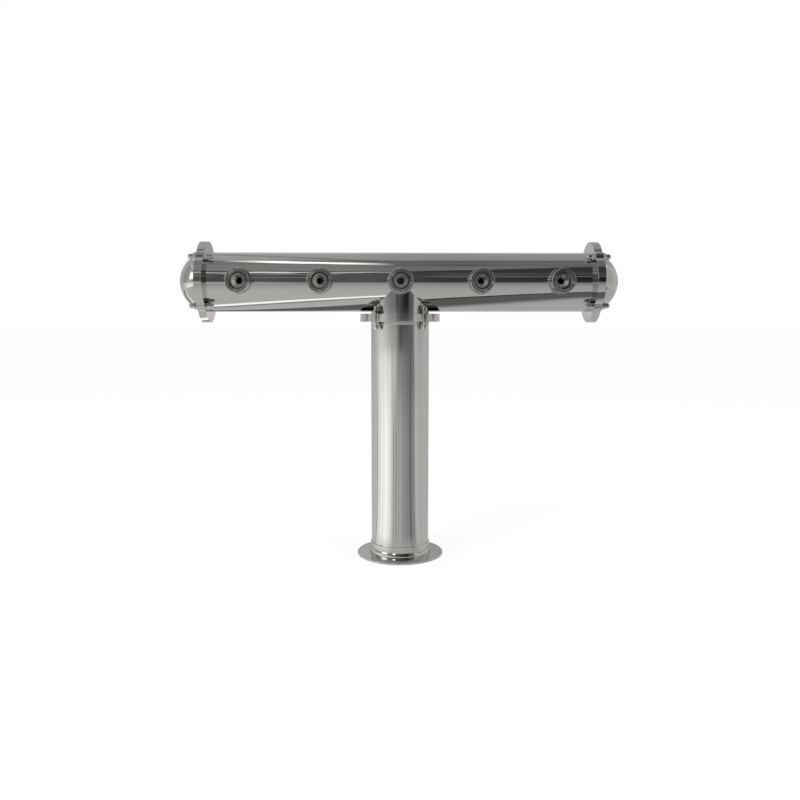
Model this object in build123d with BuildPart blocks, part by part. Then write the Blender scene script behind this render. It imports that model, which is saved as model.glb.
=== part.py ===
"""Five-way T-shaped draught beer tower, polished stainless steel, without its taps.

Z is up and z = 0 is the counter. X runs along the bar, and the tap shanks point towards -Y.
The origin is the centre of the base flange's underside. All lengths are millimetres.
"""

import os
from math import sqrt

from build123d import *

os.makedirs("parts", exist_ok=True)

# Tubing: the column, its stub and the bar are one size.
tube_radius = 50.8
tube_wall = 1.65
bar_axis_height = 482.6
bar_half_length = 329.0

# Base flange and the ring that dresses the column's foot.
base_overhang = 25.4
base_thickness = 3.2
base_edge_round = 0.8
base_lip = 2.0
base_hole_inset_x = 3.8
base_hole_inset_y = 16.3
base_hole_radius = 3.2
base_sink_radius = 4.0
ring_height = 19.8
ring_wall = 1.6
ring_foot_flare = 1.9
ring_cove_height = 9.4
ring_groove_depth = 0.5
ring_groove_height = 0.9
ring_top_chamfer = 0.9

# Bolted flange joints: one between column and stub, one at each end of the bar.
flange_plate = 6.75
gasket_thickness = 1.2
gasket_margin = 3.2
flange_overhang = 18.7
lobe_radius = 48.0
ear_radius = 8.6
bolt_circle_margin = 7.2
flange_corner_round = 3.0
flange_edge_round = 0.5
stub_clearance = 3.7
flange_bolts = 4
bolt_start_angle = 45.0
stud_radius = 3.175
stud_hole_gap = 0.25
thread_gap = 0.05

# Acorn nuts.
nut_across_flats = 11.1
nut_hex_height = 5.2
nut_hex_chamfer = 0.5
nut_dome_radius = 4.7
nut_height = 14.4
nut_thread_depth = 10.0
stud_end_gap = 0.5

# Domed end caps.
dome_step = 0.8
dome_height = 37.4
dome_wall = 1.5

# Tap shanks, counted from the left end of the bar.
shank_count = 5
shank_pitch = 135.0
shank_radius = 11.1
shank_bore_radius = 3.175
shank_tail_end = -4.0
shank_collar_radius = 13.2
shank_collar_thickness = 3.0
seat_reach = 5.2
seat_depth = 10.2
seat_mouth_radius = 9.6
seat_rim = 2.2
seat_boss_radius = 12.9
saddle_radius = 22.0
saddle_height = 4.0
saddle_edge_round = 0.8
shank_hole_gap = 0.15

# Coupling nuts: each turns freely, held between its saddle and its shank's collar.
coupling_radius = 20.3
coupling_length = 21.7
coupling_back_wall = 3.0
coupling_thread_radius = 14.3
coupling_relief = 0.6
coupling_mouth_radius = 17.3
coupling_mouth_depth = 2.4
coupling_edge_round = 1.4
coupling_end_gap = 0.3
coupling_running_gap = 0.08
spanner_holes = 6
spanner_hole_radius = 2.4
spanner_hole_depth = 3.0
spanner_hole_from_front = 9.0

# Pieces on the shanks' tails, inside the bar.
lock_nut_across_flats = 28.0
lock_nut_thickness = 6.0
tail_nut_across_flats = 25.4
tail_nut_length = 11.0
tail_nut_grip = 6.0
tail_stem_radius = 5.2
tail_stem_length = 3.0
block_width = 26.0
block_depth = 16.0
block_height = 58.0
block_front = -28.0

# Product and coolant tubing, inside.
line_radius = 3.97
line_wall = 0.9
line_bend_radius = 15.0
near_lane = 20.0
far_lane = 31.0
near_drop = 20.0
far_drop = 9.0
coolant_radius = 4.76
coolant_wall = 0.9
coolant_bend_radius = 20.0
coolant_lane = 21.0
coolant_drop = 20.0
coolant_end_gap = 12.0
line_end_height = 2.0

# Foam sleeve in the column.
foam_inner_radius = 37.0
seat_gap = 0.05

# Sizes that follow from the ones above.
tube_inner_radius = tube_radius - tube_wall
base_radius = tube_radius + base_overhang
base_hole_spacing_x = 2 * (tube_radius - base_hole_inset_x)
base_hole_spacing_y = 2 * (tube_radius - base_hole_inset_y)
bolt_circle_radius = tube_radius + bolt_circle_margin
flange_reach = tube_radius + flange_overhang
gasket_radius = tube_radius + gasket_margin
stub_bottom = bar_axis_height - tube_radius - stub_clearance
collar_joint_height = stub_bottom - flange_plate
column_top = collar_joint_height - flange_plate
end_joint = bar_half_length + flange_plate
dome_seat = end_joint + flange_plate
dome_base_radius = tube_radius - dome_step
lobe_offset = flange_reach - lobe_radius
stud_half_length = flange_plate + nut_thread_depth - stud_end_gap
saddle_front = -(tube_radius + saddle_height)
coupling_back = saddle_front - coupling_end_gap
coupling_front = coupling_back - coupling_length
collar_back = coupling_back - coupling_back_wall - coupling_end_gap
shank_front = collar_back - shank_collar_thickness
seat_front = shank_front - seat_reach
tail_nut_front = shank_tail_end - tail_nut_grip
tail_nut_back = tail_nut_front + tail_nut_length
line_start = tail_nut_back + tail_stem_length
coolant_row = block_front + block_depth / 2
shank_places = [(index - (shank_count - 1) / 2) * shank_pitch for index in range(shank_count)]
coolant_end_reach = shank_places[-1] + block_width / 2 + coolant_end_gap + coolant_bend_radius
sides = {"left": -1, "right": 1}


def level(height):
    """A horizontal plane at this height, facing up."""
    return Plane.XY.offset(height)


def level_down(height):
    """A horizontal plane at this height, facing down."""
    return Plane(origin=(0, 0, height), z_dir=(0, 0, -1))


def bar_end(side, distance, inward=False):
    """A plane across the bar, this far from the middle, that faces outwards or back to the middle."""
    facing = -side if inward else side
    return Plane(origin=(side * distance, 0, bar_axis_height), x_dir=(0, 1, 0), z_dir=(facing, 0, 0))


def shank_plane(place, depth):
    """A plane across a shank's axis at y = depth, that faces the drinker."""
    return Plane(origin=(place, depth, bar_axis_height), x_dir=(1, 0, 0), z_dir=(0, -1, 0))


def section_through(place):
    """The plane in which a shank's half section is drawn: local y is the world's y."""
    return Plane(origin=(place, 0, bar_axis_height), x_dir=(1, 0, 0), z_dir=(0, 0, 1))


def shank_axis(place):
    """The line through the middle of a shank."""
    return Axis((place, 0, bar_axis_height), (0, 1, 0))


def write(piece, name):
    """Label a finished piece and write it under its node's name."""
    piece.part.label = name
    export_step(piece.part, f"parts/{name}.step")


def flange_face(plane):
    """Four broad lobes with a small bolt ear between each two, bored in the middle."""
    with BuildSketch(plane) as face:
        with PolarLocations(lobe_offset, flange_bolts):
            Circle(lobe_radius)
        with PolarLocations(bolt_circle_radius, flange_bolts, start_angle=bolt_start_angle):
            Circle(ear_radius)
        fillet(face.vertices(), flange_corner_round)
        Circle(tube_inner_radius, mode=Mode.SUBTRACT)
        with PolarLocations(bolt_circle_radius, flange_bolts, start_angle=bolt_start_angle):
            Circle(stud_radius + stud_hole_gap, mode=Mode.SUBTRACT)
    return face.sketch


def make_flange_plate(name, joint):
    """One steel plate, standing on the joint's plane, recessed there for half of the gasket."""
    with BuildPart() as plate:
        extrude(flange_face(joint), amount=flange_plate)
        away = plate.faces().filter_by(Axis((0, 0, 0), joint.z_dir)).sort_by(Axis(joint.origin, joint.z_dir))
        fillet(away[-1].outer_wire().edges(), flange_edge_round)
        with BuildSketch(joint):
            Circle(gasket_radius + seat_gap)
        extrude(amount=gasket_thickness / 2, mode=Mode.SUBTRACT)
    write(plate, name)


def make_gasket(name, joint):
    """The flat ring that seals a joint, enclosed between the plates' recesses."""
    with BuildPart() as gasket:
        with BuildSketch(joint):
            Circle(gasket_radius)
            Circle(tube_inner_radius, mode=Mode.SUBTRACT)
        extrude(amount=gasket_thickness / 2, both=True)
    write(gasket, name)


def acorn_nut():
    """One acorn nut that stands on the local z = 0, its blind thread open below."""
    with BuildPart() as nut:
        with BuildSketch():
            RegularPolygon(nut_across_flats / 2, 6, major_radius=False, rotation=30)
        extrude(amount=nut_hex_height)
        chamfer(nut.faces().sort_by(Axis.Z)[-1].edges(), nut_hex_chamfer)
        with BuildSketch(Plane.XZ):
            with BuildLine():
                shoulder = (nut_dome_radius, nut_height - nut_dome_radius)
                Polyline((0, nut_height), (0, 0), (nut_dome_radius, 0), shoulder)
                RadiusArc(shoulder, (0, nut_height), -nut_dome_radius)
            make_face()
        revolve(axis=Axis.Z)
        with Locations((0, 0, nut_thread_depth / 2)):
            Cylinder(stud_radius + thread_gap, nut_thread_depth, mode=Mode.SUBTRACT)
    return nut.part


def make_nuts(name, plane, nut):
    """The four acorn nuts on one side of a joint."""
    with BuildPart() as nuts:
        with Locations(plane):
            with PolarLocations(bolt_circle_radius, flange_bolts, start_angle=bolt_start_angle):
                add(nut)
    write(nuts, name)


def make_studs(name, plane):
    """The four threaded studs of one joint, centred on its gasket."""
    with BuildPart() as studs:
        with Locations(plane):
            with PolarLocations(bolt_circle_radius, flange_bolts, start_angle=bolt_start_angle):
                Cylinder(stud_radius, 2 * stud_half_length)
    write(studs, name)


def make_base_flange():
    """The round foot plate, open in the middle for the lines, with four screw holes."""
    with BuildPart() as flange:
        with BuildSketch():
            Circle(base_radius)
            Circle(tube_inner_radius - base_lip, mode=Mode.SUBTRACT)
        extrude(amount=base_thickness)
        top_rim = flange.edges().filter_by(GeomType.CIRCLE).group_by(Axis.Z)[-1].sort_by(SortBy.RADIUS)[-1]
        fillet(top_rim, base_edge_round)
        with Locations(level(base_thickness)):
            with GridLocations(base_hole_spacing_x, base_hole_spacing_y, 2, 2):
                CounterSinkHole(base_hole_radius, base_sink_radius)
    write(flange, "base_flange")


def make_base_ring():
    """The turned ring round the column's foot: a straight band over a coved foot."""
    inner = tube_radius + seat_gap
    band = inner + ring_wall
    foot = band + ring_foot_flare
    top = base_thickness + ring_height
    cove_top = base_thickness + ring_cove_height
    groove_top = cove_top + ring_groove_height
    with BuildPart() as ring:
        with BuildSketch(Plane.XZ):
            with BuildLine():
                Polyline(
                    (foot, base_thickness),
                    (inner, base_thickness),
                    (inner, top),
                    (band - ring_top_chamfer, top),
                    (band, top - ring_top_chamfer),
                    (band, groove_top),
                    (band - ring_groove_depth, groove_top),
                    (band - ring_groove_depth, cove_top),
                    (band, cove_top),
                )
                cove_radius = (ring_cove_height**2 + ring_foot_flare**2) / (2 * ring_foot_flare)
                RadiusArc((band, cove_top), (foot, base_thickness), cove_radius)
            make_face()
        revolve(axis=Axis.Z)
    write(ring, "base_ring")


def make_column():
    """The plain upright tube between the base flange and the collar joint."""
    with BuildPart() as column:
        with BuildSketch(level(base_thickness)):
            Circle(tube_radius)
            Circle(tube_inner_radius, mode=Mode.SUBTRACT)
        extrude(amount=column_top - base_thickness)
    write(column, "column")


def make_column_insulation():
    """The foam sleeve that lines the column, from the base flange's lip to the collar."""
    with BuildPart() as foam:
        with BuildSketch(level(base_thickness)):
            Circle(tube_inner_radius - seat_gap)
            Circle(foam_inner_radius, mode=Mode.SUBTRACT)
        extrude(amount=column_top - base_thickness)
    write(foam, "column_insulation")


def hollow_tube(plane, length):
    """A straight length of the tower's tubing, standing on this plane."""
    with BuildPart() as tube:
        with BuildSketch(plane):
            Circle(tube_radius)
            Circle(tube_inner_radius, mode=Mode.SUBTRACT)
        extrude(amount=length)
    return tube.part


def mitre_wedge():
    """The right-angled wedge under the bar's axis whose faces are the tee's two mitres."""
    reach = bar_axis_height - stub_bottom
    with BuildPart() as wedge:
        with BuildSketch(Plane.XZ.offset(-tube_radius)):
            with BuildLine():
                Polyline(
                    (0, bar_axis_height),
                    (-reach, stub_bottom),
                    (reach, stub_bottom),
                    close=True,
                )
            make_face()
        extrude(amount=2 * tube_radius)
    return wedge.part


def shank_holes():
    """The round holes through the bar's front wall, one for each shank."""
    with BuildPart() as holes:
        for place in shank_places:
            with BuildSketch(shank_plane(place, 0)):
                Circle(shank_radius + shank_hole_gap)
            extrude(amount=tube_radius)
    return holes.part


def make_tee():
    """The bar and its stub, two equal tubes that are welded along their mitres."""
    wedge = mitre_wedge()
    holes = shank_holes()
    bar_start = Plane(origin=(-bar_half_length, 0, bar_axis_height), x_dir=(0, 1, 0), z_dir=(1, 0, 0))
    with BuildPart() as bar:
        add(hollow_tube(bar_start, 2 * bar_half_length))
        add(wedge, mode=Mode.SUBTRACT)
        add(holes, mode=Mode.SUBTRACT)
    write(bar, "bar_tube")
    with BuildPart() as stub:
        add(hollow_tube(level(stub_bottom), bar_axis_height - stub_bottom))
        add(wedge, mode=Mode.INTERSECT)
        add(holes, mode=Mode.SUBTRACT)
    write(stub, "bar_stub")


def make_dome(name, side):
    """A spun cap, one part of a thin spherical shell."""
    outer = (dome_base_radius**2 + dome_height**2) / (2 * dome_height)
    centre = dome_height - outer
    inner = outer - dome_wall
    inner_base = sqrt(inner**2 - centre**2)
    with BuildPart() as dome:
        with BuildSketch(Plane.XZ):
            with BuildLine():
                Line((inner_base, 0), (dome_base_radius, 0))
                RadiusArc((dome_base_radius, 0), (0, dome_height), -outer)
                Line((0, dome_height), (0, dome_height - dome_wall))
                RadiusArc((0, dome_height - dome_wall), (inner_base, 0), inner)
            make_face()
        revolve(axis=Axis.Z)
    with BuildPart() as cap:
        with Locations(bar_end(side, dome_seat)):
            add(dome.part)
    write(cap, name)


def make_shank(name, place):
    """The threaded body: a long tail, the nut's collar, and a boss in front of it with a deep coned seat."""
    seat_floor = seat_front + seat_depth
    seat_bevel = seat_boss_radius - seat_mouth_radius - seat_rim
    with BuildPart() as shank:
        with BuildSketch(section_through(place)):
            with BuildLine():
                Polyline(
                    (shank_bore_radius, seat_floor),
                    (seat_mouth_radius, seat_front),
                    (seat_boss_radius - seat_bevel, seat_front),
                    (seat_boss_radius, seat_front + seat_bevel),
                    (seat_boss_radius, shank_front),
                    (shank_collar_radius, shank_front),
                    (shank_collar_radius, collar_back),
                    (shank_radius, collar_back),
                    (shank_radius, shank_tail_end),
                    (shank_bore_radius, shank_tail_end),
                    close=True,
                )
            make_face()
        revolve(axis=shank_axis(place))
    write(shank, name)


def make_saddle(name, place):
    """The round escutcheon, flat in front and hollowed behind to sit on the bar and its stub."""
    with BuildPart() as saddle:
        with BuildSketch(shank_plane(place, 0)):
            Circle(saddle_radius)
        extrude(amount=-saddle_front)
        fillet(saddle.edges().filter_by(GeomType.CIRCLE).sort_by(Axis.Y)[0], saddle_edge_round)
        with BuildSketch(shank_plane(place, 0)):
            Circle(shank_radius + seat_gap)
        extrude(amount=-saddle_front, mode=Mode.SUBTRACT)
        with BuildSketch(Plane.YZ.offset(place - saddle_radius)):
            with Locations((0, bar_axis_height)):
                Circle(tube_radius + seat_gap)
        extrude(amount=2 * saddle_radius, mode=Mode.SUBTRACT)
        with BuildSketch(level(stub_bottom)):
            Circle(tube_radius + seat_gap)
        extrude(amount=bar_axis_height - stub_bottom, mode=Mode.SUBTRACT)
    write(saddle, name)


def make_coupling_nut(name, place):
    """The round nut with spanner holes that draws a tap onto its shank, relieved behind its thread."""
    hole_row = coupling_front + spanner_hole_from_front
    floor = coupling_back - coupling_back_wall
    thread_end = seat_front - coupling_end_gap
    relief_radius = coupling_thread_radius + coupling_relief
    with BuildPart() as nut:
        with BuildSketch(section_through(place)) as profile:
            with BuildLine():
                Polyline(
                    (shank_radius + coupling_running_gap, coupling_back),
                    (coupling_radius, coupling_back),
                    (coupling_radius, coupling_front),
                    (coupling_mouth_radius, coupling_front),
                    (coupling_thread_radius, coupling_front + coupling_mouth_depth),
                    (coupling_thread_radius, thread_end),
                    (relief_radius, thread_end),
                    (relief_radius, floor),
                    (shank_radius + coupling_running_gap, floor),
                    close=True,
                )
            make_face()
            fillet(profile.vertices().group_by(Axis.X)[-1], coupling_edge_round)
        revolve(axis=shank_axis(place))
        with Locations(shank_plane(place, hole_row)):
            with PolarLocations(coupling_radius - spanner_hole_depth, spanner_holes):
                with Locations(Rotation(0, 90, 0)):
                    Cylinder(
                        spanner_hole_radius,
                        2 * spanner_hole_depth,
                        align=(Align.CENTER, Align.CENTER, Align.MIN),
                        mode=Mode.SUBTRACT,
                    )
    write(nut, name)


def make_lock_nut(name, place):
    """The hexagonal nut that pulls a shank against the bar's wall from inside."""
    corner_radius = lock_nut_across_flats / sqrt(3)
    front = seat_gap - sqrt(tube_inner_radius**2 - corner_radius**2)
    with BuildPart() as nut:
        with BuildSketch(shank_plane(place, front + lock_nut_thickness)):
            RegularPolygon(corner_radius, 6, rotation=30)
            Circle(shank_radius + thread_gap, mode=Mode.SUBTRACT)
        extrude(amount=lock_nut_thickness)
    write(nut, name)


def make_tailpiece(name, place):
    """The nut and stem that join a shank's tail to its beer line."""
    with BuildPart() as tail:
        with BuildSketch(shank_plane(place, tail_nut_back)):
            RegularPolygon(tail_nut_across_flats / 2, 6, major_radius=False)
        extrude(amount=tail_nut_length)
        with BuildSketch(shank_plane(place, line_start)):
            Circle(tail_stem_radius)
        extrude(amount=tail_stem_length)
        with BuildSketch(shank_plane(place, line_start)):
            Circle(line_radius - line_wall)
        extrude(amount=line_start - tail_nut_front, mode=Mode.SUBTRACT)
        with BuildSketch(shank_plane(place, shank_tail_end + seat_gap)):
            Circle(shank_radius + thread_gap)
        extrude(amount=tail_nut_grip + seat_gap, mode=Mode.SUBTRACT)
    write(tail, name)


def make_cooling_blocks():
    """One aluminium block on each shank, bored for the two coolant runs that pass it."""
    with BuildPart() as blocks:
        for place in shank_places:
            with BuildSketch(shank_plane(place, block_front + block_depth)):
                Rectangle(block_width, block_height)
                Circle(shank_radius + seat_gap, mode=Mode.SUBTRACT)
            extrude(amount=block_depth)
        with BuildSketch(Plane.YZ.offset(-bar_half_length)):
            with Locations(
                (coolant_row, bar_axis_height - coolant_lane), (coolant_row, bar_axis_height + coolant_lane)
            ):
                Circle(coolant_radius + seat_gap)
        extrude(amount=2 * bar_half_length, mode=Mode.SUBTRACT)
    write(blocks, "cooling_blocks")


def make_tube(name, corners, bend_radius, radius, wall, start):
    """A bent tube: straight runs between the corners, joined by equal arcs."""
    with BuildPart() as tube:
        with BuildLine():
            FilletPolyline(*corners, radius=bend_radius)
        with BuildSketch(start):
            Circle(radius)
            Circle(radius - wall, mode=Mode.SUBTRACT)
        sweep()
    write(tube, name)


def make_beer_line(name, place):
    """One product line: back from its shank, along the bar, and down the column."""
    side = (place > 0) - (place < 0)
    outer = abs(place) > shank_pitch
    lane = far_lane if outer else near_lane
    drop = side * (far_drop if outer else near_drop)
    corners = [(place, line_start, bar_axis_height), (place, lane, bar_axis_height)]
    if side:
        corners.append((drop, lane, bar_axis_height))
    corners.append((drop, lane, line_end_height))
    make_tube(name, corners, line_bend_radius, line_radius, line_wall, shank_plane(place, line_start))


def make_coolant_loop():
    """The coolant tube: up the column, round the whole bar under and over the shanks, and down."""
    low = bar_axis_height - coolant_lane
    high = bar_axis_height + coolant_lane
    corners = [
        (-coolant_drop, coolant_row, line_end_height),
        (-coolant_drop, coolant_row, low),
        (-coolant_end_reach, coolant_row, low),
        (-coolant_end_reach, coolant_row, high),
        (coolant_end_reach, coolant_row, high),
        (coolant_end_reach, coolant_row, low),
        (coolant_drop, coolant_row, low),
        (coolant_drop, coolant_row, line_end_height),
    ]
    start = Plane(origin=corners[0], z_dir=(0, 0, 1))
    make_tube("coolant_loop", corners, coolant_bend_radius, coolant_radius, coolant_wall, start)


def make_collar_joint(nut):
    """The bolted joint between the column and the bar's stub."""
    make_flange_plate("collar_lower_plate", level_down(collar_joint_height))
    make_gasket("collar_gasket", level(collar_joint_height))
    make_flange_plate("collar_upper_plate", level(collar_joint_height))
    make_studs("collar_studs", level(collar_joint_height))
    make_nuts("collar_nuts_upper", level(stub_bottom), nut)
    make_nuts("collar_nuts_lower", level_down(column_top), nut)


def make_end_joint(word, side, nut):
    """The bolted joint and the domed cap that close one end of the bar."""
    make_flange_plate(f"end_plate_inner_{word}", bar_end(side, end_joint, inward=True))
    make_gasket(f"end_gasket_{word}", bar_end(side, end_joint))
    make_flange_plate(f"end_plate_outer_{word}", bar_end(side, end_joint))
    make_studs(f"end_studs_{word}", bar_end(side, end_joint))
    make_nuts(f"end_nuts_outer_{word}", bar_end(side, dome_seat), nut)
    make_nuts(f"end_nuts_inner_{word}", bar_end(side, bar_half_length, inward=True), nut)
    make_dome(f"dome_cap_{word}", side)


def make_tap_position(number, place):
    """Everything that sits on one shank, outside and inside the bar."""
    make_shank(f"shank_{number}", place)
    make_saddle(f"shank_saddle_{number}", place)
    make_coupling_nut(f"coupling_nut_{number}", place)
    make_lock_nut(f"lock_nut_{number}", place)
    make_tailpiece(f"tailpiece_{number}", place)
    make_beer_line(f"beer_line_{number}", place)


make_base_flange()
make_base_ring()
make_column()
make_column_insulation()
make_tee()
flange_nut = acorn_nut()
make_collar_joint(flange_nut)
for end_word, end_side in sides.items():
    make_end_joint(end_word, end_side, flange_nut)
for tap_number, tap_place in enumerate(shank_places, start=1):
    make_tap_position(tap_number, tap_place)
make_cooling_blocks()
make_coolant_loop()
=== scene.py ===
import math

import bmesh
import bpy
from mathutils import Matrix, Vector


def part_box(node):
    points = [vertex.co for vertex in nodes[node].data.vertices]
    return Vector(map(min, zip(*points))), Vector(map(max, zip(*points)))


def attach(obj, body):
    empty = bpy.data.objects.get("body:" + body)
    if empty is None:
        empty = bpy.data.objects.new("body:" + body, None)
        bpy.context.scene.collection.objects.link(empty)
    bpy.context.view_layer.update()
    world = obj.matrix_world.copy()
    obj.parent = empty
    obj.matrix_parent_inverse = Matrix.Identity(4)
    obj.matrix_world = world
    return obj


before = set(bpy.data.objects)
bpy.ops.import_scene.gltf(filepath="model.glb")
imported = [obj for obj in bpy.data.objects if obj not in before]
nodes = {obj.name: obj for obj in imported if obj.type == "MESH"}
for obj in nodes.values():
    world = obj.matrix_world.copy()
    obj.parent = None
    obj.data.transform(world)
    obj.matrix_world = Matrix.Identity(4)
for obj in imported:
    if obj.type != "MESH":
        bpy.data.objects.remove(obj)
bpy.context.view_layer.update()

taps = range(1, 6)


# A coupling nut's axis, across and up, and the place of its open front. The axis is as high as the bar's own.
def nutPlace(tap):
    low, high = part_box(f"coupling_nut_{tap}")
    return (low[0] + high[0]) / 2, (low[2] + high[2]) / 2, low[1]


barHeight = nutPlace(1)[1]


# A node socket that can be used in sums; any other node comes from its node method.
class Sock:
    def __init__(self, tree, out=None):
        self.tree = tree
        self.out = out

    def node(self, kind, settings=None, sockets=None, output=0):
        made = self.tree.nodes.new(kind)
        for key, value in (settings or {}).items():
            if key == "stops":
                self.setStops(made.color_ramp.elements, value)
            else:
                setattr(made, key, value)
        for key, value in (sockets or {}).items():
            if isinstance(value, Sock):
                self.tree.links.new(value.out, made.inputs[key])
            else:
                made.inputs[key].default_value = value
        return Sock(self.tree, made.outputs[output] if len(made.outputs) else None)

    def setStops(self, elements, stops):
        while len(elements) < len(stops):
            elements.new(1.0)
        for element, (place, level) in zip(elements, stops):
            element.position = place
            element.color = (level, level, level, 1)

    def sum(self, operation, first, second):
        return self.node("ShaderNodeMath", {"operation": operation}, {0: first, 1: second})

    def __add__(self, other):
        return self.sum("ADD", self, other)

    def __radd__(self, other):
        return self.sum("ADD", other, self)

    def __sub__(self, other):
        return self.sum("SUBTRACT", self, other)

    def __rsub__(self, other):
        return self.sum("SUBTRACT", other, self)

    def __mul__(self, other):
        return self.sum("MULTIPLY", self, other)

    def __rmul__(self, other):
        return self.sum("MULTIPLY", other, self)


# A finished bmesh becomes an object of its own.
def addObject(name, shape, material):
    mesh = bpy.data.meshes.new(name)
    shape.to_mesh(mesh)
    shape.free()
    mesh.materials.append(material)
    made = bpy.data.objects.new(name, mesh)
    bpy.context.scene.collection.objects.link(made)
    return made


def newTree(name):
    material = bpy.data.materials.new(name)
    material.use_nodes = True
    material.node_tree.nodes.clear()
    return material, Sock(material.node_tree)


def closeTree(tree, shader):
    tree.node("ShaderNodeOutputMaterial", {}, {"Surface": shader})


def ramp(tree, value, low, high, fromValue=0.0, toValue=1.0):
    limits = {"From Min": low, "From Max": high, "To Min": fromValue, "To Max": toValue}
    return tree.node("ShaderNodeMapRange", {"clamp": True}, {"Value": value, **limits})


mostOfNoise = (0.3, 0.7)  # nearly all of a noise lies between these


def noise(tree, scale, detail, stretch=(1, 1, 1)):
    place = tree.node("ShaderNodeTexCoord", output="Object")
    place = tree.node("ShaderNodeMapping", {}, {"Vector": place, "Scale": stretch})
    return tree.node("ShaderNodeTexNoise", {}, {"Vector": place, "Scale": scale, "Detail": detail})


# A Mix node on colours: in that mode its colours are sockets 6 and 7, and its result is output 2.
def mixColour(tree, factor, first, second, way="MIX"):
    settings = {"data_type": "RGBA", "blend_type": way}
    return tree.node("ShaderNodeMix", settings, {"Factor": factor, 6: first, 7: second}, 2)


def closeFinish(tree, tint, metal, rough, height):
    bump = tree.node("ShaderNodeBump", {}, {"Strength": 1.0, "Distance": 1.0, "Height": height})
    shader = tree.node("ShaderNodeBsdfPrincipled", {},
                       {"Base Color": tint, "Metallic": metal, "Roughness": rough, "Normal": bump})
    closeTree(tree, shader)


steel = {
    "colour": (0.605, 0.597, 0.585, 1),
    "gloss": 0.035,  # roughness where it is cleanest
    "hazeScale": 14.0,
    "hazeDetail": 4.0,
    "hazeSpan": (0.45, 0.8),
    "haze": 0.05,  # roughness that the haze adds
    "darkest": 0.965,  # share of the colour left away from the haze
    "grainScale": 260.0,
    "grainDetail": 2.0,
    "grainSpan": (0.5, 0.8),
    "grain": 0.03,  # roughness that the polishing grain adds
    "grainDepth": 0.0000012,
    "waveScale": 9.0,
    "waveDepth": 0.00016,
    "drawnScale": 36.0,
    "drawnStretch": 0.2,
    "waveDetail": 1.0,
}


# Mirror-polished stainless steel: faint haze, polishing grain, slow waves in the sheet, and drawn-out ones.
def polishedSteel(name, run, wave=1.0, drawn=0.0, colour=steel["colour"], gloss=steel["gloss"]):
    material, tree = newTree(name)
    cloud = noise(tree, steel["hazeScale"], steel["hazeDetail"])
    fine = noise(tree, steel["grainScale"], steel["grainDetail"], run)
    slow = noise(tree, steel["waveScale"], steel["waveDetail"])
    stretch = [steel["drawnStretch"] if part < 1 else 1 for part in run]
    long = noise(tree, steel["drawnScale"], steel["waveDetail"], stretch)
    haze = ramp(tree, cloud, *steel["hazeSpan"]) * steel["haze"]
    grain = ramp(tree, fine, *steel["grainSpan"]) * steel["grain"]
    tone = ramp(tree, cloud, *mostOfNoise, steel["darkest"], 1.0)
    tint = mixColour(tree, 1.0, colour, tone, "MULTIPLY")
    height = slow * (steel["waveDepth"] * wave) + long * drawn + fine * steel["grainDepth"]
    closeFinish(tree, tint, 1.0, gloss + haze + grain, height)
    return material


# What the plain finishes share.
plain = {
    "detail": 5.0,
    "mottleSpan": (0.35, 0.65),
    "roughSpread": 0.05,
}


# Everything that isn't mirror-polished shares one recipe: a mottled colour, a roughness and a low relief.
def plainFinish(name, colour, metal, rough, scale, depth, spread=0.08):
    material, tree = newTree(name)
    cloud = noise(tree, scale, plain["detail"])
    dark = tuple(part * (1 - spread) for part in colour) + (1,)
    tint = mixColour(tree, ramp(tree, cloud, *plain["mottleSpan"]), dark, (*colour, 1))
    roughness = ramp(tree, cloud, *mostOfNoise, rough - plain["roughSpread"], rough + plain["roughSpread"])
    closeFinish(tree, tint, metal, roughness, cloud * depth)
    return material


# How the grain runs, as the stretch of its noise.
alongBar = (0.02, 1, 1)
upright = (1, 1, 0.02)
even = (1, 1, 1)
polishedLooks = {
    "barSteel": {"run": alongBar, "drawn": 0.00006},
    "columnSteel": {"run": upright, "drawn": 0.00016},
    "flangeSteel": {"run": even, "wave": 0.5, "gloss": 0.06},
    "nutSteel": {"run": even, "wave": 0.3, "gloss": 0.05},
    "couplingSteel": {"run": even, "wave": 0.3, "gloss": 0.07, "colour": (0.56, 0.55, 0.535, 1)},
}
# Colour, metal or not, roughness, scale and depth of the relief, and how much darker it is mottled.
plainLooks = {
    "shankSteel": ((0.86, 0.85, 0.83), 1.0, 0.2, 220.0, 0.00002),
    "threadSteel": ((0.34, 0.335, 0.325), 1.0, 0.24, 500.0, 0.00001),
    "studSteel": ((0.46, 0.455, 0.45), 1.0, 0.34, 400.0, 0.00002),
    "gasketRubber": ((0.03, 0.03, 0.03), 0.0, 0.7, 300.0, 0.00004),
    "brass": ((0.68, 0.5, 0.22), 1.0, 0.3, 260.0, 0.00002),
    "lineSteel": ((0.55, 0.55, 0.54), 1.0, 0.25, 180.0, 0.00001),
    "aluminium": ((0.72, 0.72, 0.73), 1.0, 0.35, 200.0, 0.00002),
    "foam": ((0.1, 0.1, 0.11), 0.0, 0.9, 900.0, 0.0002, 0.4),
}
finishes = {name: polishedSteel(name, **look) for name, look in polishedLooks.items()}
finishes.update({name: plainFinish(name, *look) for name, look in plainLooks.items()})

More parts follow.
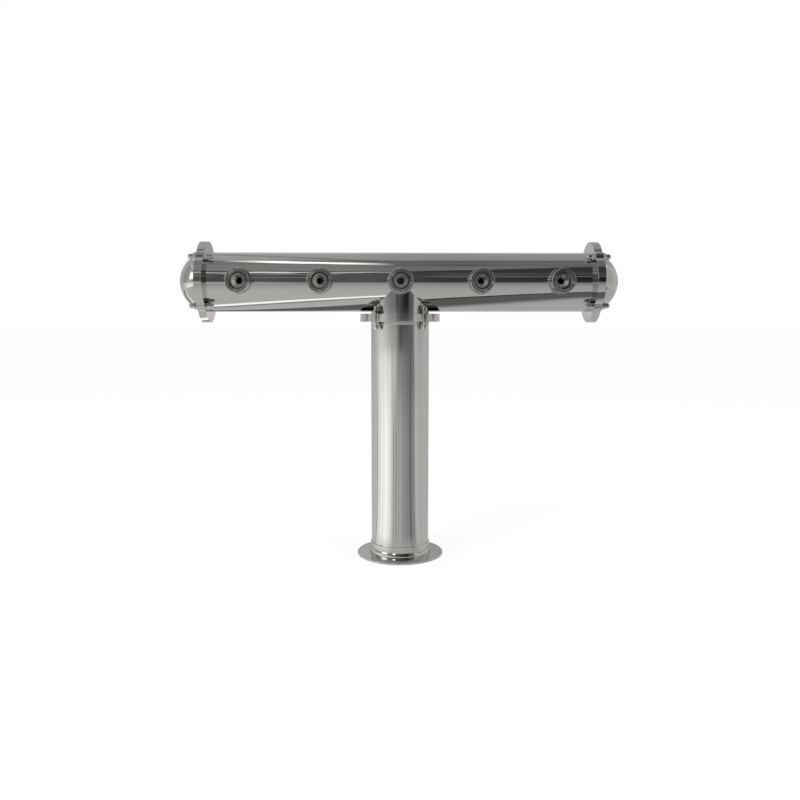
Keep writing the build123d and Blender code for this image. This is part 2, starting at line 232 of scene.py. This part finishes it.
endPlaces = [f"{place}_{side}" for place in ("inner", "outer") for side in ("left", "right")]
plates = ["base_flange", "collar_lower_plate", "collar_upper_plate"]
plates += [f"end_plate_{place}" for place in endPlaces]
wearers = {
    "barSteel": ["bar_tube", "bar_stub"],
    "columnSteel": ["column", "base_ring"],
    "flangeSteel": plates + ["dome_cap_left", "dome_cap_right"] + [f"shank_saddle_{tap}" for tap in taps],
    "nutSteel": ["collar_nuts_upper", "collar_nuts_lower"] + [f"end_nuts_{place}" for place in endPlaces],
    "couplingSteel": [f"coupling_nut_{tap}" for tap in taps],
    "shankSteel": [f"shank_{tap}" for tap in taps],
    "studSteel": ["collar_studs", "end_studs_left", "end_studs_right"],
    "gasketRubber": ["collar_gasket", "end_gasket_left", "end_gasket_right"],
    "brass": [f"{kind}_{tap}" for kind in ("lock_nut", "tailpiece") for tap in taps],
    "lineSteel": ["coolant_loop"] + [f"beer_line_{tap}" for tap in taps],
    "aluminium": ["cooling_blocks"],
    "foam": ["column_insulation"],
}
for finish, wearing in wearers.items():
    for name in wearing:
        slots = nodes[name].data.materials
        slots.clear()
        slots.append(finishes[finish])
print("finishes on", sum(len(wearing) for wearing in wearers.values()), "nodes")


# The thread cut in each coupling nut's mouth: over its countersink and on to the relief behind.
mouthThread = {
    "mouthRadius": 0.0172,
    "mouthDepth": 0.0024,
    "setBack": 0.0002,  # from the nut's front face
    "radius": 0.01425,
    "depth": 0.0099,
    "pitch": 0.00141,
    "ridge": 0.0007,
    "backing": 0.0003,
    "steps": 96,
    "merge": 0.000001,  # points closer than this become one
}


# The thread's section, as radius and place along the axis, from a nut's open front inwards.
def threadProfile(front):
    mouth = Vector((mouthThread["mouthRadius"], front + mouthThread["setBack"]))
    throat = Vector((mouthThread["radius"], front + mouthThread["mouthDepth"]))
    tail = Vector((mouthThread["radius"], front + mouthThread["depth"]))
    places = []
    for start, end in ((mouth, throat), (throat, tail)):
        run = end - start
        inward = Vector((-run.y, run.x)).normalized() * mouthThread["ridge"]
        turns = round(run.length / mouthThread["pitch"])
        for turn in range(turns):
            places += [start + run * (turn / turns), start + run * ((turn + 0.5) / turns) + inward]
    behind = Vector((mouthThread["backing"], 0))
    return places + [tail, tail + behind, throat + behind, mouth + behind]


def makeMouthThread(tap):
    axisX, axisZ, front = nutPlace(tap)
    shape = bmesh.new()
    ring = [shape.verts.new((axisX + radius, along, axisZ)) for radius, along in threadProfile(front)]
    edges = [shape.edges.new((ring[place - 1], ring[place])) for place in range(len(ring))]
    bmesh.ops.spin(shape, geom=ring + edges, cent=(axisX, 0, axisZ), axis=(0, 1, 0), angle=2 * math.pi,
                   steps=mouthThread["steps"], use_merge=True)
    bmesh.ops.remove_doubles(shape, verts=shape.verts, dist=mouthThread["merge"])
    bmesh.ops.recalc_face_normals(shape, faces=shape.faces)
    thread = addObject(f"mouth_thread_{tap}", shape, finishes["threadSteel"])
    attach(thread, f"coupling_nut_{tap}_body")


for tap in taps:
    makeMouthThread(tap)
print("threads cut in", len(taps), "coupling nuts")


# The glow of the room that the steel mirrors, by azimuth about the tower: degrees from the taps' side,
# positive to the right.
room = {
    "colour": (1.0, 0.992, 0.978, 1),
    "scale": 4.0,  # the stops of a colour ramp hold each glow divided by this
    "streakScale": 55.0,
    "streakDetail": 3.0,
    "streak": (0.85, 1.15),
    "low": [  # low on the wall
        (-180, 0.5), (-140, 0.56), (-120, 0.64), (-106, 0.72), (-93, 0.9), (-70, 0.95), (-62, 0.87),
        (-53, 0.74), (-44, 0.62), (-28, 0.56), (-15, 0.42), (-8, 0.3), (-1, 0.09), (8, 0.15), (41, 0.19),
        (52, 0.22), (59, 0.64), (80, 0.56), (120, 0.64), (180, 0.5),
    ],
    "high": [  # high on the wall
        (-180, 0.74), (-130, 0.62), (-100, 0.4), (-82, 0.5), (-74, 0.68), (-62, 0.44), (-44, 0.3),
        (-20, 0.24), (-16, 0.1), (-3, 0.13), (2, 0.08), (20, 0.02), (31, 0.03), (36, 0.15), (50, 0.17),
        (59, 0.66), (70, 0.5), (130, 0.66), (180, 0.74),
    ],
    "far": [  # on the floor by the wall
        (-180, 0.5), (-110, 0.7), (-84, 1.2), (-60, 1.32), (-51, 1.07), (-44, 1.2), (-36, 0.97),
        (-32, 0.74), (-28, 0.82), (-16, 0.66), (-11, 0.45), (8, 0.35), (22, 0.29), (38, 0.24), (41, 0.15),
        (44, 0.25), (54, 0.29), (59, 0.61), (120, 0.64), (180, 0.5),
    ],
    "near": [  # on the floor nearer by
        (-180, 0.5), (-110, 0.75), (-104, 0.85), (-101.5, 0.25), (-99, 0.95), (-84, 1.3), (-58, 1.55),
        (-46, 1.35), (-38, 1.1), (-30, 0.9), (-27, 0.45), (-24, 0.62), (-19, 0.6), (-16.5, 0.35),
        (-14, 0.6), (-8, 0.6), (4, 0.54), (14, 0.42), (34, 0.36), (40, 0.2), (45, 0.33), (55, 0.4),
        (60, 0.68), (120, 0.64), (180, 0.5),
    ],
}


def placeAlong(tree, axis):
    place = tree.node("ShaderNodeTexCoord", output="Object")
    return tree.node("ShaderNodeSeparateXYZ", {}, {"Vector": place}, axis)


def azimuthOf(tree):
    return tree.sum("ARCTAN2", placeAlong(tree, "X"), 0 - placeAlong(tree, "Y")) * math.degrees(1)


def glowRound(tree, where):
    turn = ramp(tree, azimuthOf(tree), -180.0, 180.0)
    stops = [((angle + 180) / 360, glow / room["scale"]) for angle, glow in room[where]]
    glow = tree.node("ShaderNodeValToRGB", {"stops": stops}, {"Fac": turn})
    sockets = {"W": turn, "Scale": room["streakScale"], "Detail": room["streakDetail"]}
    streak = tree.node("ShaderNodeTexNoise", {"noise_dimensions": "1D"}, sockets)
    return glow * ramp(tree, streak, *mostOfNoise, *[share * room["scale"] for share in room["streak"]])


# 1 between low and high, with an edge this soft.
def band(tree, value, low, high, soft):
    rise = ramp(tree, value, low - soft / 2, low + soft / 2)
    fall = ramp(tree, value, high - soft / 2, high + soft / 2, 1.0, 0.0)
    return rise * fall


def emit(tree, level):
    return tree.node("ShaderNodeEmission", {}, {"Color": room["colour"], "Strength": level})


# A panel of the room that shows only in the steel: neither to the camera nor as light or shadow on the rest.
def stagePanel(name, shape, material):
    panel = addObject(name, shape, material)
    panel.visible_camera = False
    panel.visible_diffuse = False
    panel.visible_shadow = False


floor = {
    "size": 30.0,
    "shownGlow": 0.72,
    "shownColour": (0.33, 0.33, 0.33, 1),
    "litColour": (0.7, 0.7, 0.7, 1),
    "closeColour": (0.75, 0.745, 0.735, 1),
    "close": (0.05, 0.2),  # distances over which the mirrored floor turns from lit to glowing
    "far": (1.4, 4.0),  # and its glow from near to far
}


def makeFloor():
    shape = bmesh.new()
    bmesh.ops.create_grid(shape, x_segments=1, y_segments=1, size=floor["size"])
    material, tree = newTree("floorSheet")
    seen = tree.node("ShaderNodeLightPath", output="Is Camera Ray")
    mirrored = tree.node("ShaderNodeLightPath", output="Is Glossy Ray")
    shown = tree.node("ShaderNodeAddShader", {}, {
        0: tree.node("ShaderNodeEmission", {}, {"Strength": floor["shownGlow"]}),
        1: tree.node("ShaderNodeBsdfDiffuse", {}, {"Color": floor["shownColour"]}),
    })
    place = tree.node("ShaderNodeTexCoord", output="Object")
    reach = tree.node("ShaderNodeVectorMath", {"operation": "LENGTH"}, {0: place}, "Value")
    far = ramp(tree, reach, *floor["far"])
    openFloor = emit(tree, glowRound(tree, "near") * (1 - far) + glowRound(tree, "far") * far)
    close = tree.node("ShaderNodeBsdfDiffuse", {}, {"Color": floor["closeColour"]})
    apart = ramp(tree, reach, *floor["close"])
    away = tree.node("ShaderNodeMixShader", {}, {"Fac": apart, 1: close, 2: openFloor})
    lit = tree.node("ShaderNodeBsdfDiffuse", {}, {"Color": floor["litColour"]})
    unseen = tree.node("ShaderNodeMixShader", {}, {"Fac": mirrored, 1: lit, 2: away})
    closeTree(tree, tree.node("ShaderNodeMixShader", {}, {"Fac": seen, 1: unseen, 2: shown}))
    addObject("floor", shape, material)


wall = {
    "distance": 6.0,
    "height": 5.0,
    "steps": 120,
    "foot": (0.17, 0.0),  # heights over which its glow turns from low to the floor's
    "rise": (0.28, 0.52),  # and from low to high
    # From and to height, from and to azimuth, glow, softness of the height.
    "patches": [
        (2.45, 2.95, 4, 30, 0.15, 0.25),
        (3.5, 4.6, 5, 30, 0.08, 0.3),
        (2.0, 2.4, -14, -6, 0.14, 0.25),
        (3.4, 4.6, -16, -5, 0.15, 0.3),
        (1.3, 3.4, -75, -52, 1.6, 0.3),
        (2.1, 3.1, -30, -19, 2.2, 0.2),
    ],
    "patchSides": 2.0,  # softness of the azimuth
}


def makeWall():
    shape = bmesh.new()
    edge = shape.edges.new([shape.verts.new((0, -wall["distance"], up)) for up in (0, wall["height"])])
    bmesh.ops.spin(shape, geom=[edge, *edge.verts], cent=(0, 0, 0), axis=(0, 0, 1), angle=2 * math.pi,
                   steps=wall["steps"], use_merge=True)
    material, tree = newTree("wallGlow")
    up = placeAlong(tree, "Z")
    rise = ramp(tree, up, *wall["rise"])
    foot = ramp(tree, up, *wall["foot"])
    level = glowRound(tree, "low") * (1 - rise) + glowRound(tree, "high") * rise
    level = level * (1 - foot) + glowRound(tree, "far") * foot
    turn = azimuthOf(tree)
    for low, high, left, right, glow, soft in wall["patches"]:
        cover = band(tree, up, low, high, soft) * band(tree, turn, left, right, wall["patchSides"])
        level = cover * glow + level
    closeTree(tree, emit(tree, level))
    stagePanel("roomWall", shape, material)


# A vault over the bar with its strip lights. Its angles are degrees up from the horizon on the taps' side.
vault = {
    "distance": 2.4,
    "reach": 3.0,
    "start": 34,
    "end": 180,
    "steps": 80,
    "waverScale": 3.5,
    "waverDetail": 3.0,
    "waver": 9.0,
    # From and to angle, from and to x, glow, softness, and how many degrees a metre the strip slants.
    "strips": [
        (30, 66, -9, 9, 0.05, 10.0, 0),
        (40, 200, -9, -0.1, 0.27, 4.0, 0),
        (37.3, 200, -0.1, 9, 0.2, 4.0, -24),
        (34, 38, 0.1, 9, 0.035, 1.5, 0),
        (65, 69, 0.1, 0.5, -0.1, 2.0, 0),
        (84, 90, 0.1, 9, -0.06, 2.0, 0),
        (35.3, 37.4, -1.1, -0.02, 1.2, 0.8, 0),
        (66.2, 75.2, -0.66, -0.1, 2.0, 3.0, 20),
        (75, 87, -1.2, -0.1, -0.16, 5.0, 60),
        (88, 98, -1.2, -0.45, 0.06, 5.0, 30),
        (90, 142, -9, 9, 0.23, 8.0, 0),
        (142, 178, -9, 9, 0.3, 12.0, 0),
    ],
    "stripEnds": 0.25,  # softness in x
    "streakScale": 2.0,
    "streakDetail": 4.0,
    "streakStretch": (0.2, 3, 3),
    "streak": (0.8, 1.2),
}


def makeVault():
    shape = bmesh.new()
    centre = Vector((0, 0, barHeight))
    turned = Matrix.Rotation(-math.radians(vault["start"]), 3, "X")
    start = centre + turned @ Vector((0, -vault["distance"], 0))
    reach = Vector((vault["reach"], 0, 0))
    edge = shape.edges.new([shape.verts.new(start - reach), shape.verts.new(start + reach)])
    bmesh.ops.spin(shape, geom=[edge, *edge.verts], cent=centre, axis=(-1, 0, 0),
                   angle=math.radians(vault["end"] - vault["start"]), steps=vault["steps"])
    material, tree = newTree("vaultGlow")
    across = placeAlong(tree, "X")
    lean = tree.sum("ARCTAN2", placeAlong(tree, "Z") - barHeight, 0 - placeAlong(tree, "Y")) * math.degrees(1)
    lean = lean + (noise(tree, vault["waverScale"], vault["waverDetail"]) - 0.5) * vault["waver"]
    level = 0.0
    for low, high, left, right, glow, soft, slant in vault["strips"]:
        cover = band(tree, lean + across * slant, low, high, soft)
        level = cover * band(tree, across, left, right, vault["stripEnds"]) * glow + level
    streak = noise(tree, vault["streakScale"], vault["streakDetail"], vault["streakStretch"])
    closeTree(tree, emit(tree, level * ramp(tree, streak, *mostOfNoise, *vault["streak"])))
    stagePanel("vault", shape, material)


# A shelf just under the bar, shown only in the steel: a painted shadow, which is a slanted dark band across
# it with a darker edge on the right, and, on the left, a bright strip with a painted shadow line.
shelf = {
    "height": 0.41,
    "size": 0.6,
    "front": (-0.35, -0.1, 0.44, 0.63),  # from and to y, and the glow at each
    "middle": (0.02, -0.02),  # x where right turns to left
    "rightShare": 0.92,
    "leftExtra": 0.11,
    "streakScale": 8.0,
    "streakDetail": 4.0,
    "streakStretch": (0.06, 2, 1),
    "streak": (0.93, 1.06),
    # Painted shadow: a slanted dark band across the shelf, and its darker edge on the right.
    "shadowSlant": 0.2,
    "shadowNear": (-0.0445, -0.0415),
    "shadowFar": (-0.008, 0.011),
    "shadowGlow": 0.155,
    "edge": (-0.0485, -0.042, 0.001),  # from, to and softness, as for the strip and the gap
    "shadowEdgeGlow": 0.02,
    "stripSlant": 0.195,
    "strip": (-0.0883, -0.0783, 0.0015),
    "stripGlow": 1.6,
    # Painted shadow line along the far side of the bright strip.
    "shadowLine": (-0.0783, -0.0713, 0.001),
    "shadowLineGlow": 0.36,
}


def makeShelf():
    shape = bmesh.new()
    bmesh.ops.create_grid(shape, x_segments=1, y_segments=1, size=shelf["size"],
                          matrix=Matrix.Translation((0, 0, shelf["height"])))
    material, tree = newTree("shelfMarks")
    across, along = placeAlong(tree, "X"), placeAlong(tree, "Y")
    left = ramp(tree, across, *shelf["middle"])
    streak = noise(tree, shelf["streakScale"], shelf["streakDetail"], shelf["streakStretch"])
    level = ramp(tree, along, *shelf["front"]) * (shelf["rightShare"] + left * shelf["leftExtra"])
    level = level * ramp(tree, streak, *mostOfNoise, *shelf["streak"])
    overShadowBand = along + across * shelf["shadowSlant"]
    overStrip = along + across * shelf["stripSlant"]
    shadowBand = ramp(tree, overShadowBand, *shelf["shadowNear"]) * ramp(tree, overShadowBand, *shelf["shadowFar"], 1.0, 0.0)
    # Painted shadow first, the dark band and its darker edge; then the bright strip and its painted shadow
    # line.
    marks = (
        (shadowBand, shelf["shadowGlow"]),
        (band(tree, overShadowBand, *shelf["edge"]) * (1 - left), shelf["shadowEdgeGlow"]),
        (band(tree, overStrip, *shelf["strip"]) * left, shelf["stripGlow"]),
        (band(tree, overStrip, *shelf["shadowLine"]) * left, shelf["shadowLineGlow"]),
    )
    for cover, glow in marks:
        level = level * (1 - cover) + cover * glow
    closeTree(tree, emit(tree, level))
    stagePanel("shelf", shape, material)


sky = {"colour": (1, 1, 1, 1), "light": 0.8, "white": 1.0}


def makeSky():
    world = bpy.data.worlds.new("studioWorld")
    bpy.context.scene.world = world
    world.use_nodes = True
    world.node_tree.nodes.clear()
    tree = Sock(world.node_tree)
    seen = tree.node("ShaderNodeLightPath", output="Is Camera Ray")
    mirrored = tree.node("ShaderNodeLightPath", output="Is Glossy Ray")
    through = tree.node("ShaderNodeLightPath", output="Is Transmission Ray")
    shown = tree.sum("MAXIMUM", tree.sum("MAXIMUM", seen, mirrored), through)
    light = tree.node("ShaderNodeBackground", {}, {"Color": sky["colour"], "Strength": sky["light"]})
    white = tree.node("ShaderNodeBackground", {}, {"Color": sky["colour"], "Strength": sky["white"]})
    both = tree.node("ShaderNodeMixShader", {}, {"Fac": shown, 1: light, 2: white})
    tree.node("ShaderNodeOutputWorld", {}, {"Surface": both})


lamps = {
    "keyLamp": {"place": (-1.8, -1.6, 2.2), "size": 1.2, "watts": 18},
    "fillLamp": {"place": (2.0, -1.2, 1.6), "size": 1.2, "watts": 6},
}
lampAim = (0, 0, 0.25)


def makeLamp(name, place, size, watts):
    lamp = bpy.data.lights.new(name, "AREA")
    lamp.shape = "DISK"
    lamp.size = size
    lamp.energy = watts
    holder = bpy.data.objects.new(name, lamp)
    holder.location = place
    holder.rotation_euler = (Vector(lampAim) - Vector(place)).to_track_quat("-Z", "Y").to_euler()
    holder.visible_glossy = False
    bpy.context.scene.collection.objects.link(holder)


view = {
    "distance": 1.370,
    "height": 0.424,
    "azimuth": -1.2,
    "pitch": 6.15,
    "lens": 35.0,
    "sensor": 36.0,
    "nearest": 0.05,
}


def makeCamera():
    data = bpy.data.cameras.new("camera")
    data.lens = view["lens"]
    data.sensor_width = view["sensor"]
    data.clip_start = view["nearest"]
    camera = bpy.data.objects.new("camera", data)
    turn = math.radians(view["azimuth"])
    camera.location = (view["distance"] * math.sin(turn), -view["distance"] * math.cos(turn), view["height"])
    camera.rotation_euler = (math.radians(90 - view["pitch"]), 0, turn)
    bpy.context.scene.collection.objects.link(camera)
    bpy.context.scene.camera = camera


makeFloor()
makeWall()
makeVault()
makeShelf()
makeSky()
print("room ready")
for name, lamp in lamps.items():
    makeLamp(name, **lamp)
makeCamera()
bpy.context.scene.view_settings.view_transform = "Standard"
print("lamps and camera ready")
